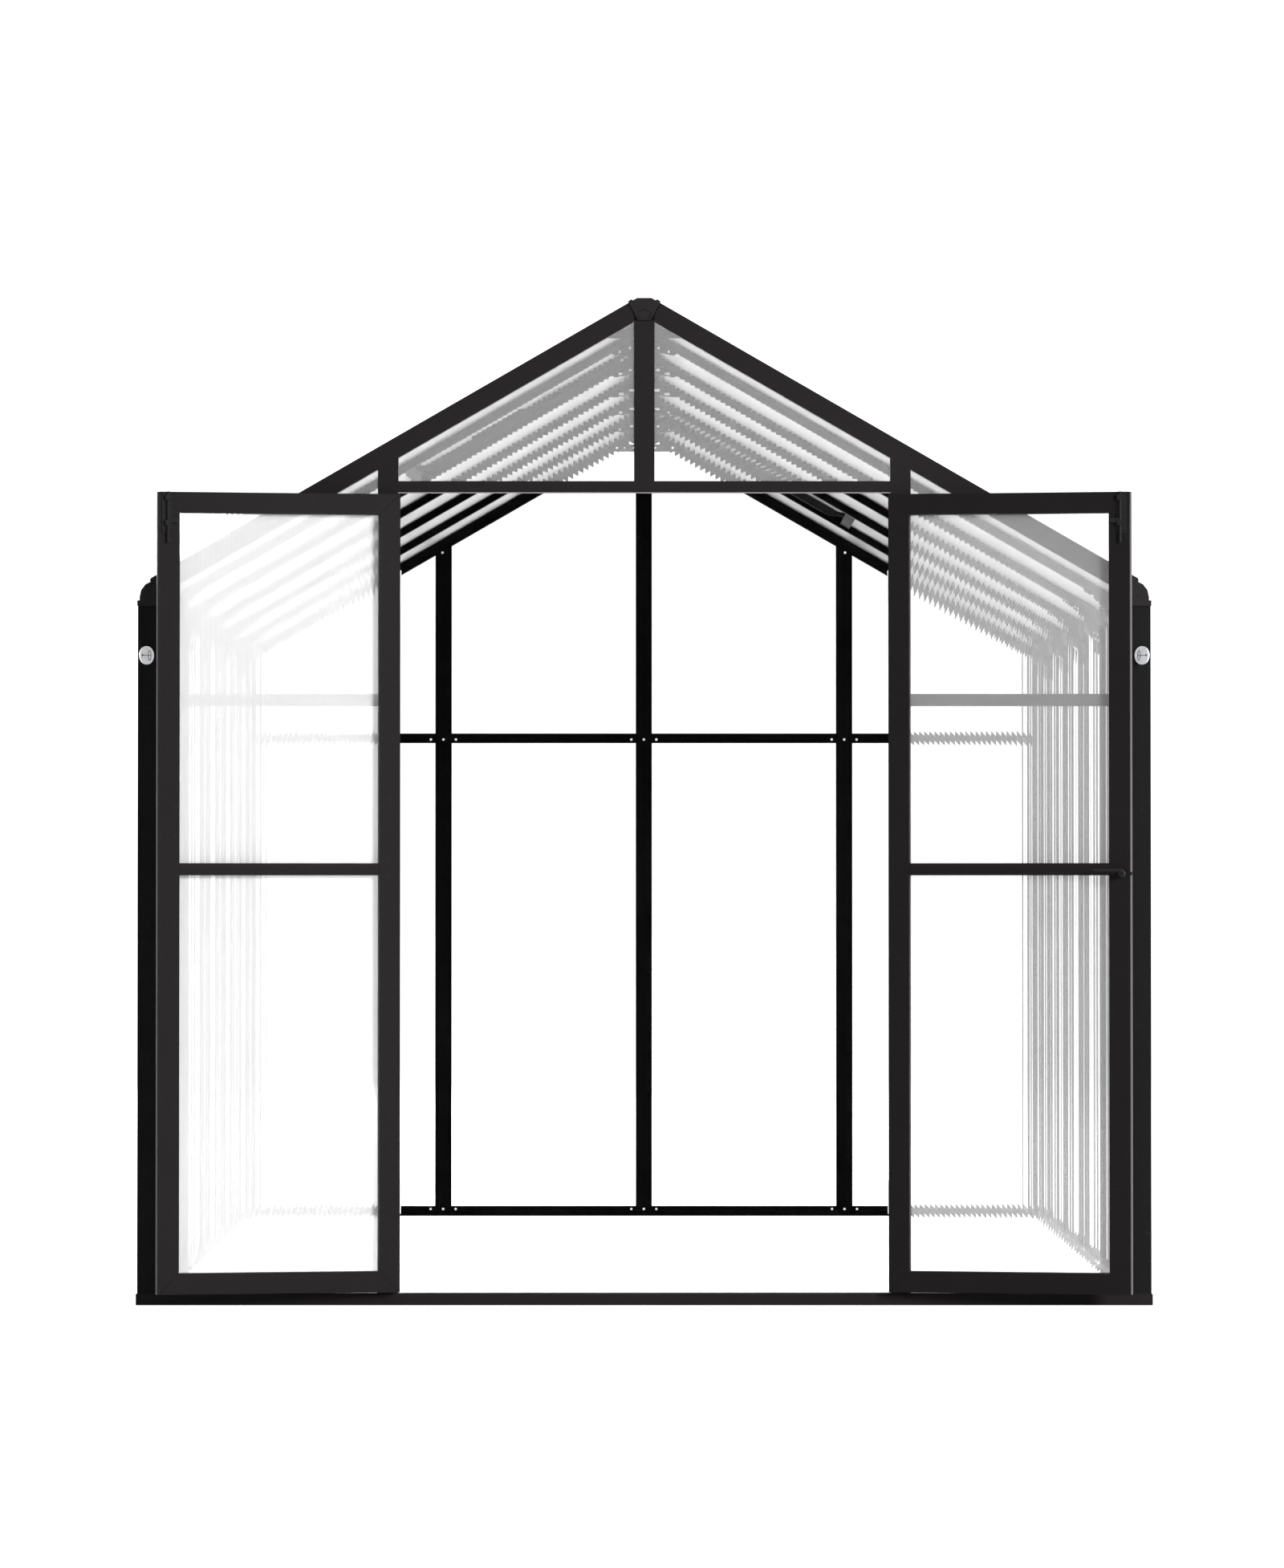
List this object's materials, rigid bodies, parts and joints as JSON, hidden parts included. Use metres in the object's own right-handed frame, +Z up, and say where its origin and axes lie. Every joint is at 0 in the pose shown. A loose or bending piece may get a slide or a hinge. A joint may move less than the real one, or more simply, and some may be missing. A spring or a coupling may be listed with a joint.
{
  "type": "walk-in greenhouse with twin-wall sheet glazing",
  "caption": "Apex-roofed walk-in greenhouse: slotted black aluminium bars, clear twin-wall sheets, hinged double doors in the gable, roof vents, no floor.",
  "frame": {"origin": "on the ground, in the middle of the outer edge of the front base, under the doorway's sill", "axes": "+X to the right as seen from outside the doorway, +Y from the front gable to the back gable, +Z up"},
  "size_m": [2.44, 3.8252, 2.42],
  "materials": {
    "frame_bars": "charcoal powder coat, satin",
    "door_bars": "charcoal powder coat, satin",
    "wall_twinwall": "clear twin-wall polycarbonate, upright flutes",
    "roof_twinwall": "clear twin-wall polycarbonate, flutes down the slope",
    "seal": "grey brush and lip seal",
    "moulded_caps": "black moulded plastic",
    "zinc_plate": "bright zinc plate",
    "black_hardware": "black coated steel",
    "opener_steel": "black coated steel, bright rod"
  },
  "bodies": {
    "greenhouse": {"base_front": "frame_bars", "base_back": "frame_bars", "base_sides": "frame_bars", "corner_posts": "frame_bars", "door_posts": "frame_bars", "front_centre_post": "frame_bars", "door_header": "frame_bars", "door_head_seal": "seal", "front_rails": "frame_bars", "back_posts": "frame_bars", "back_rails": "frame_bars", "side_posts_left": "frame_bars", "side_posts_right": "frame_bars", "eave_beam_left": "frame_bars", "eave_beam_right": "frame_bars", "ridge_beam": "frame_bars", "front_gable_rafters": "frame_bars", "back_gable_rafters": "frame_bars", "rafters_left": "frame_bars", "rafters_right": "frame_bars", "ridge_gussets": "frame_bars", "eave_gussets": "frame_bars", "ridge_caps": "moulded_caps", "eave_caps": "moulded_caps", "front_sheets": "wall_twinwall", "back_sheets": "wall_twinwall", "side_sheets_left": "wall_twinwall", "side_sheets_right": "wall_twinwall", "roof_sheets_left": "roof_twinwall", "roof_sheets_right": "roof_twinwall", "vent_sills": "frame_bars", "vent_left_frame": "frame_bars", "vent_left_sheet": "roof_twinwall", "vent_left_opener": "opener_steel", "vent_right_frame": "frame_bars", "vent_right_sheet": "roof_twinwall", "vent_right_opener": "opener_steel", "door_catches": "zinc_plate", "jamb_hinges": "zinc_plate"},
    "left_door": {"left_door_stiles": "door_bars", "left_door_rails": "door_bars", "left_door_sheets": "wall_twinwall", "left_door_edge_seal": "seal", "left_door_hinges": "zinc_plate", "left_door_bolt": "black_hardware"},
    "right_door": {"right_door_stiles": "door_bars", "right_door_rails": "door_bars", "right_door_sheets": "wall_twinwall", "right_door_edge_seal": "seal", "right_door_hinges": "zinc_plate", "right_door_bolt": "black_hardware", "right_door_handle": "black_hardware"}
  },
  "joints": [
    {"name": "left_door_hinge", "type": "hinge", "parent": "greenhouse", "child": "left_door", "pos_m": [-0.5875, -0.001, 0], "axis": [0, 0, 1], "range_deg": [0, 171]},
    {"name": "right_door_hinge", "type": "hinge", "parent": "greenhouse", "child": "right_door", "pos_m": [0.5875, -0.001, 0], "axis": [0, 0, -1], "range_deg": [0, 171]}
  ]
}
